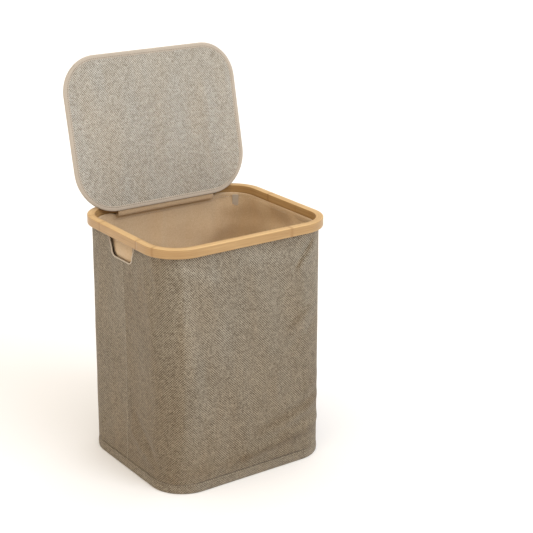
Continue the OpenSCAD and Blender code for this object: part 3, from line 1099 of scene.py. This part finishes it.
def liner_bulge(co, spot, up):
    """How far the liner stands out at a place on it, in millimetres."""
    a, z = spot.x / MM, spot.y / MM
    hang = min(1.0, (1 - up) * 16, up * 10)
    if co.y > 150 * MM and abs(co.x) < 135 * MM:
        hang = min(hang, max(0.0, (492 - z) / 60))  # flat behind the hinge flap
    # loose cloth billows in slanting swags below its hem, and hangs straighter lower down
    swag = 7.5 * noise.noise(Vector((a / 75 + z / 160, z / 42, 2.0))) * (0.3 + 0.7 * up ** 3)
    ripple = 2.2 * noise.noise(Vector((a / 34, z / 190, 2.0)))
    ripple += 1.4 * noise.noise(Vector((a / 60, z / 60, 5.0)))
    out = min(0.6, swag + ripple - 3.6) * hang
    if abs(co.x) > SHORT_SIDE:
        # pushed out to the hand hole, where nothing holds it back
        at_hole = exp(-((co.y / (45 * MM)) ** 4) - ((z - 496) / 18) ** 4)
        out += (4.6 - out) * at_hole
    return out


class HAMPER_OT_liner(bpy.types.Operator):
    """Hangs the loose liner inside the walls: wall, floor and turned hem"""

    bl_idname = "hamper.liner"
    bl_label = "Liner"

    def execute(self, context):
        s = sizes()
        width, depth = s.rim_width - 2 * s.liner_inset, s.rim_depth - 2 * s.liner_inset
        radius = s.rim_radius - s.liner_inset
        low, high = LINER_LOW.z * MM, LINER_HIGH.z * MM
        bm = bmesh.new()
        edge = section(bm, [(width / 2, 0, low), (width / 2, 0, high)])
        bmesh.ops.subdivide_edges(bm, edges=edge, cuts=59)
        sweep(bm, list(bm.edges), lap(width, depth, radius, radius, 0), 9 * MM, 14)
        weld(bm)
        read, round_length = round_lap(width, depth, radius)
        lay_cloth(bm, read, round_length)
        face_outwards(bm)
        for vert, normal, spot in [(v, v.normal.copy(), read(v.co)) for v in bm.verts]:
            up = (spot.y - low) / (high - low)
            vert.co += normal * liner_bulge(vert.co, spot, up) * MM
            vert.co.z += tucked(vert.co) * max(0.0, up * 12 - 11)
        wall = thicken(finish_mesh("liner_cloth_wall", bm, lining()), 0.7 * MM, -1)
        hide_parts("liner_wall")
        falls_with_rim(wall, low)

        # turned hem: a doubled band inside the liner's top, with its lower edge stitched
        hem_height, inset = s.liner_hem, 0.85 * MM
        points = [
            (0.0, -0.2 * MM), (0.245 * MM, 0.0), (0.525 * MM, -0.3 * MM), (0.56 * MM, -hem_height / 2),
            (0.49 * MM, 0.6 * MM - hem_height), (0.245 * MM, -hem_height),
        ]
        hem = band(
            "liner_turned_hem", [(i, high + z) for i, z in points], width - 2 * inset, depth - 2 * inset,
            radius - inset, lining(),
        )
        hem.data.flip_normals()
        for vert in hem.data.vertices:
            vert.co.z += tucked(vert.co)
        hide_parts("liner_hem")
        falls_with_rim(hem, low)
        corner = radius - 1.5 * MM
        at_wall = walk(width - 3 * MM, depth - 3 * MM, corner, corner, s.stitch_pitch)
        above = high + 1.8 * MM - hem_height
        places = [(at + UP * (above + tucked(at)), way, -out) for at, way, out in at_wall]
        row = stitch_row("liner_hem_stitches", places, thread("pale"), (s.stitch, s.thread * 0.8))
        falls_with_rim(row, low)

        # floor: one panel, its height a little uneven
        bm = bmesh.new()
        corner = radius - 1.2 * MM
        insets = (0, 3, 8, 15, 25, 36, 48, 58)
        sheet_disc(bm, width - 2.4 * MM, depth - 2.4 * MM, corner, corner, low + 0.4 * MM, insets)
        for vert in bm.verts:
            vert.co.z += 0.25 * MM * (1 + noise.noise(Vector((vert.co.x * 14, vert.co.y * 14, 1))))
        lay_cloth(bm, lambda co: Vector((co.x, co.y, 0)))
        face_up(bm)
        floor = thicken(finish_mesh("liner_cloth_floor", bm, lining()), 0.3 * MM, -1)
        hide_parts("liner_floor")
        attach(floor, "base")
        return {"FINISHED"}


def at_corners(bm, build):
    """Builds a piece on the +X diagonal and sets a copy in each corner."""
    s = sizes()
    centre_x, centre_y = s.rim_width / 2 - s.rim_radius, s.rim_depth / 2 - s.rim_radius
    for sx, sy in ((1, -1), (1, 1), (-1, 1), (-1, -1)):
        before = set(bm.verts)
        build(bm)
        fresh = [v for v in bm.verts if v not in before]
        bmesh.ops.rotate(bm, cent=(0, 0, 0), matrix=Matrix.Rotation(atan2(sy, sx), 3, "Z"), verts=fresh)
        bmesh.ops.translate(bm, vec=(sx * centre_x, sy * centre_y, 0), verts=fresh)


def plate(bm, x0, x1, half, low, high, rounding):
    """A small upright plate with eased corners, its thickness along X."""
    before = set(bm.verts)
    bmesh.ops.create_cube(bm, size=1)
    fresh = [v for v in bm.verts if v not in before]
    bmesh.ops.scale(bm, vec=(x1 - x0, 2 * half, high - low), verts=fresh)
    bmesh.ops.translate(bm, vec=((x0 + x1) / 2, 0, (low + high) / 2), verts=fresh)
    edges = list({e for v in fresh for e in v.link_edges})
    upright = [e for e in edges if abs(e.verts[0].co.x - e.verts[1].co.x) > 1e-6]
    bmesh.ops.bevel(bm, geom=upright, offset=rounding, segments=4, profile=0.5, affect="EDGES", material=-1)


class HAMPER_OT_tabs(bpy.types.Operator):
    """Makes the corner tabs that hold the liner up, and their hook patches"""

    bl_idname = "hamper.tabs"
    bl_label = "Liner Tabs"

    def execute(self, context):
        high = COVER_HIGH.z * MM
        pieces = (
            ("liner_corner_tabs", "liner_tabs", tape(), "binding_tape", 57.75, 58.65, 7, 26),
            ("hook_patches", "tab_patches", hook_tape(), "hook_tape", 58.85, 59.9, 6, 22),
        )
        for name, node, finish, slot, x0, x1, half, tall in pieces:
            bm = bmesh.new()
            at_corners(bm, lambda b: plate(b, x0 * MM, x1 * MM, half * MM, high - tall * MM, high, 2.2 * MM))
            bmesh.ops.recalc_face_normals(bm, faces=bm.faces)
            lay_cloth(bm, lambda co: Vector((co.z, hypot(co.x, co.y), 0)))
            made = ease_edges(finish_mesh(name, bm, finish))
            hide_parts(node)
            falls_with_rim(made)
        return {"FINISHED"}


def turned(bm, profile, centre, steps):
    """A round piece spun about an upright line from its side profile, given as (radius, height)."""
    before = set(bm.verts)
    edges = section(bm, [(centre + x * MM, 0, z * MM) for x, z in profile])
    geom = list({v for e in edges for v in e.verts}) + edges
    bmesh.ops.spin(bm, geom=geom, cent=(centre, 0, 0), axis=UP, angle=2 * pi, steps=steps, use_merge=True)
    bmesh.ops.remove_doubles(bm, verts=[v for v in bm.verts if v not in before], dist=1e-6)


def steps_up(low, high, count):
    """Even heights between two ends, without the ends."""
    return [low + (high - low) * i / count for i in range(1, count)]


class HAMPER_OT_rods(bpy.types.Operator):
    """Turns the four stay rods, their caps and the cloth sleeves round them"""

    bl_idname = "hamper.rods"
    bl_label = "Stay Rods"

    def execute(self, context):
        centre = 66.05 * MM
        shaft = [(2, z) for z in steps_up(6.4, 528.4, 12)]
        cloth = [(2.6 + 0.12 * sin(i * 2.3), z) for i, z in enumerate(steps_up(19.4, 513.4, 24), 1)]
        pieces = (
            ("steel_stay_rods", "stay_rods", rod_steel(), "rod_steel",
             [(0, 6.1), (1.7, 6.1), (2, 6.4), *shaft, (2, 528.3), (1.7, 528.6), (0, 528.6)]),
            ("rod_tip_caps", "rod_caps", cap_plastic(), "cap_plastic",
             [(2.1, 516), (2.4, 515.8), (2.7, 516.2), (2.75, 527.6), (2.4, 529.2), (1.6, 529.6), (0, 529.7)]),
            ("cloth_rod_sleeves", "rod_sleeves", lining(), "lining",
             [(2.15, 19.2), (2.55, 19.2), *cloth, (2.55, 513.6), (2.15, 513.6)]),
        )
        for name, node, finish, slot, profile in pieces:
            bm = bmesh.new()
            at_corners(bm, lambda b: turned(b, profile, centre, 16))
            bmesh.ops.recalc_face_normals(bm, faces=bm.faces)
            lay_cloth(bm, lambda co: Vector((co.x + co.y, co.z, 0)))
            made = ease_edges(finish_mesh(name, bm, finish))
            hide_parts(node)
            falls_with_rim(made)
        return {"FINISHED"}


def lid_shift():
    """Middle of the shut lid, seen from above."""
    s = sizes()
    return Vector((0, -s.rim_depth / 2 + s.lid_length / 2, 0))


def lid_face(name, z, out, finish):
    """One cloth face of the lid, drawn tight but puffed a little beside its binding."""
    s = sizes()
    inset = 0.8 * MM
    width, depth = s.rim_width - 2 * inset, s.lid_length - 2 * inset
    rear, front = s.lid_rear_radius - inset, s.lid_front_radius - inset
    middle = lid_shift()
    bm = bmesh.new()
    insets = (0, 6, 9.5, 11, 12.5, 15, 18, 22, 28, 36, 46, 58, 70, 79)
    sheet_disc(bm, width, depth, rear, front, z, insets)
    bmesh.ops.translate(bm, verts=bm.verts, vec=middle)
    lay_cloth(bm, lambda co: Vector((co.x, co.y + 0.4, 0)))
    face_up(bm, out)
    for vert in bm.verts:
        spot = vert.co - middle
        from_edge = min(width / 2 - abs(spot.x), depth / 2 - abs(spot.y)) / MM
        vert.co.z += out * 0.32 * MM * (1 - exp(-max(0.0, from_edge - 10) / 5))
    swing_open(bm)
    return finish_mesh(name, bm, finish)


class HAMPER_OT_lid(bpy.types.Operator):
    """Covers the lid's board with cloth on both faces"""

    bl_idname = "hamper.lid"
    bl_label = "Lid Faces"

    def execute(self, context):
        s = sizes()
        pieces = (
            ("inner", 0.45 * MM, -1, lid_linen(), "lid_linen"),
            ("outer", s.lid_thickness - 0.45 * MM, 1, linen(), "cover_linen"),
        )
        for word, above, out, finish, slot in pieces:
            made = thicken(lid_face("lid_cloth_" + word, LID_UNDER + above, out, finish), 0.5 * MM, -1)
            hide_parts(f"lid_{word}_cloth")
            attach(made, "lid")
        dress("lid_board", fibreboard())
        return {"FINISHED"}


class HAMPER_OT_lid_binding(bpy.types.Operator):
    """Folds the binding tape over the lid's edge and stitches both faces"""

    bl_idname = "hamper.lid_binding"
    bl_label = "Lid Binding"

    def execute(self, context):
        s = sizes()
        wide, middle = s.lid_binding, lid_shift()
        upper = LID_UNDER + s.lid_thickness
        # half of the folded section on one face, mirrored for the other
        half = [
            (wide + 0.1 * MM, 0.75), (wide, 0.35), (wide - 0.6 * MM, 0.08), (wide - 2 * MM, 0.16),
            (wide - 2.7 * MM, 0.22), (wide - 3.4 * MM, 0.06), (6 * MM, -0.12), (3 * MM, -0.08),
            (1.5 * MM, 0.12), (0.6 * MM, 0.55), (0.12 * MM, 1.3),
        ]
        points = [(i, LID_UNDER + z * MM) for i, z in half] + [(i, upper - z * MM) for i, z in reversed(half)]
        bm = bmesh.new()
        edges = section(bm, [(s.rim_width / 2 - i, 0, z) for i, z in points])
        sweep(bm, edges, lap(s.rim_width, s.lid_length, s.lid_rear_radius, s.lid_front_radius, 0), 9 * MM, 26)
        weld(bm)
        bmesh.ops.translate(bm, verts=bm.verts, vec=middle)
        # the tape runs round the edge; its ribs cross it
        front = along(s.rim_width, s.lid_length, s.lid_front_radius, -1)
        rear = along(s.rim_width, s.lid_length, s.lid_rear_radius, 1)

        def place(co):
            return (front if (co - middle).y <= 0 else rear)(co - middle).xzy

        lay_cloth(bm, place)
        bmesh.ops.recalc_face_normals(bm, faces=bm.faces)
        bm.normal_update()
        edge_faces = [f for f in bm.faces if abs(f.normal.z) < 0.3]
        if sum(f.normal.dot(f.calc_center_median() - middle) for f in edge_faces) < 0:
            bmesh.ops.reverse_faces(bm, faces=bm.faces)
        swing_open(bm)
        made = finish_mesh("lid_edge_binding", bm, tape())
        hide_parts("lid_binding")
        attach(made, "lid")
        turn = Matrix.Rotation(LID_SWING, 3, "X")
        inset = wide - 2.7 * MM
        at_edge = walk(
            s.rim_width - 2 * inset, s.lid_length - 2 * inset, s.lid_rear_radius - inset,
            s.lid_front_radius - inset, s.stitch_pitch,
        )
        for word, z, out in (("inner", LID_UNDER + 0.12 * MM, -1), ("outer", upper - 0.12 * MM, 1)):
            foot = middle + UP * z - LID_HINGE
            facing = turn @ (UP * out)
            places = [(LID_HINGE + turn @ (at + foot), turn @ way, facing) for at, way, _ in at_edge]
            row = stitch_row("lid_stitches_" + word, places, thread("dark"), (s.stitch, s.thread * 1.3))
            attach(row, "lid")
        return {"FINISHED"}


class HAMPER_OT_hinge_flap(bpy.types.Operator):
    """Sews the cloth hinge between the rear rail and the lid's edge"""

    bl_idname = "hamper.hinge_flap"
    bl_label = "Hinge Flap"

    def execute(self, context):
        low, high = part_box("hinge_flap")
        # side view of the flap: from under the rail, sagging forward, up to the lid's edge
        path = [
            (176.5, 529.5), (173, 529.45), (170.6, 529.5), (168.6, 529), (167, 527.2), (165.4, 525.4),
            (163.2, 524.6), (160.9, 525.6), (159.4, 528.2), (158.7, 531.4), (158.3, 534.6), (158.2, 537.4),
            (158.5, 539.6),
        ]
        bm = bmesh.new()
        edges = section(bm, [(low.x, y * MM, z * MM) for y, z in path])
        draw_out(bm, edges, Vector((high.x - low.x, 0, 0)), 40)
        lay_cloth(bm, lambda co: Vector((co.x, co.y - co.z, 0)))
        for vert in bm.verts:
            loose = exp(-(((vert.co.z / MM - 527) / 4) ** 2))
            vert.co.z += 0.9 * MM * loose * noise.noise(Vector((vert.co.x * 22, 0, 3)))
        bmesh.ops.recalc_face_normals(bm, faces=bm.faces)
        made = thicken(finish_mesh("cloth_hinge_flap", bm, lining()), 0.8 * MM, 0)
        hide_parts("hinge_flap")
        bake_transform(made)
        dress("cover_welt", under_cloth())
        return {"FINISHED"}


class HAMPER_OT_stage(bpy.types.Operator):
    """Sets the pale floor, the soft lights and the camera"""

    bl_idname = "hamper.stage"
    bl_label = "Stage"

    def execute(self, context):
        scene = context.scene
        scene.view_settings.view_transform = "Standard"
        world = bpy.data.worlds.new("Studio")
        world.use_nodes = True
        world.node_tree.nodes["Background"].inputs[0].default_value = (1.0, 0.94, 0.85, 1)
        world.node_tree.nodes["Background"].inputs[1].default_value = 0.5
        scene.world = world

        bm = bmesh.new()
        bmesh.ops.create_grid(bm, x_segments=2, y_segments=2, size=30)
        bmesh.ops.translate(bm, verts=bm.verts, vec=(0, 0, -0.0004))
        paper, tree, bsdf = new_material("White studio paper", Roughness=0.9, Specular_IOR_Level=0.1)
        bsdf.inputs["Base Color"].default_value = rgba(colours().floor)
        floor = finish_mesh("studio_floor", bm, paper, smooth=False)

        def soft_sun(name, turned_by, height, spread, strength, colour):
            """An even soft light from far off, turned_by degrees to the right of the front."""
            data = bpy.data.lights.new(name, "SUN")
            data.angle, data.energy, data.color = radians(spread), strength, colour
            made = bpy.data.objects.new(name, data)
            scene.collection.objects.link(made)
            a, e = radians(turned_by), radians(height)
            towards = Vector((sin(a) * cos(e), -cos(a) * cos(e), sin(e)))
            made.rotation_mode = "QUATERNION"
            made.rotation_quaternion = (-towards).to_track_quat("-Z", "Y")

        soft_sun("overhead_softbox", 0, 82, 100, 2.3, (1.0, 0.96, 0.9))
        soft_sun("front_key", 20, 36, 35, 1.05, (0.83, 0.91, 1.0))
        soft_sun("warm_side_fill", -80, 30, 60, 0.46, (1.0, 0.66, 0.2))

        turn, tip, lean = radians(-35.45), radians(19.18), radians(0.33)
        back = Vector((sin(turn) * cos(tip), -cos(turn) * cos(tip), sin(tip)))
        right = Vector((cos(turn), sin(turn), 0))
        up = back.cross(right)
        across = cos(lean) * right + sin(lean) * up
        above = -sin(lean) * right + cos(lean) * up
        target = right * 133.6 * MM + UP * 430.5 * MM
        lens = bpy.data.cameras.new("camera")
        lens.sensor_width, lens.lens = 36, 95.09
        camera = bpy.data.objects.new("camera", lens)
        scene.collection.objects.link(camera)
        facing = Matrix((across, above, back)).transposed().to_4x4()
        camera.matrix_world = Matrix.Translation(target + back * 3086.9 * MM) @ facing
        scene.camera = camera
        return {"FINISHED"}


STEPS = (
    HAMPER_OT_rim,
    HAMPER_OT_cover,
    HAMPER_OT_base,
    HAMPER_OT_side_seams,
    HAMPER_OT_hand_holes,
    HAMPER_OT_liner,
    HAMPER_OT_tabs,
    HAMPER_OT_rods,
    HAMPER_OT_lid,
    HAMPER_OT_lid_binding,
    HAMPER_OT_hinge_flap,
    HAMPER_OT_stage,
)


class HAMPER_PT_sidebar(bpy.types.Panel):
    """Lists the hamper's sizes, colours and pieces"""

    bl_idname = "HAMPER_PT_sidebar"
    bl_label = "Laundry Hamper"
    bl_space_type = "VIEW_3D"
    bl_region_type = "UI"
    bl_category = "Hamper"

    def draw(self, context):
        for group in (context.scene.hamper_sizes, context.scene.hamper_colours):
            column = self.layout.column()
            for name in group.__annotations__:
                column.prop(group, name)
        for step in STEPS:
            self.layout.operator(step.bl_idname)


CLASSES = (HamperSizes, HamperColours, *STEPS, HAMPER_PT_sidebar)


def register():
    for cls in CLASSES:
        bpy.utils.register_class(cls)
    bpy.types.Scene.hamper_sizes = PointerProperty(type=HamperSizes)
    bpy.types.Scene.hamper_colours = PointerProperty(type=HamperColours)


def unregister():
    del bpy.types.Scene.hamper_colours
    del bpy.types.Scene.hamper_sizes
    for cls in reversed(CLASSES):
        bpy.utils.unregister_class(cls)


def main():
    register()
    for step in STEPS:
        group, name = step.bl_idname.split(".")
        getattr(getattr(bpy.ops, group), name)()


if __name__ == "__main__":
    main()
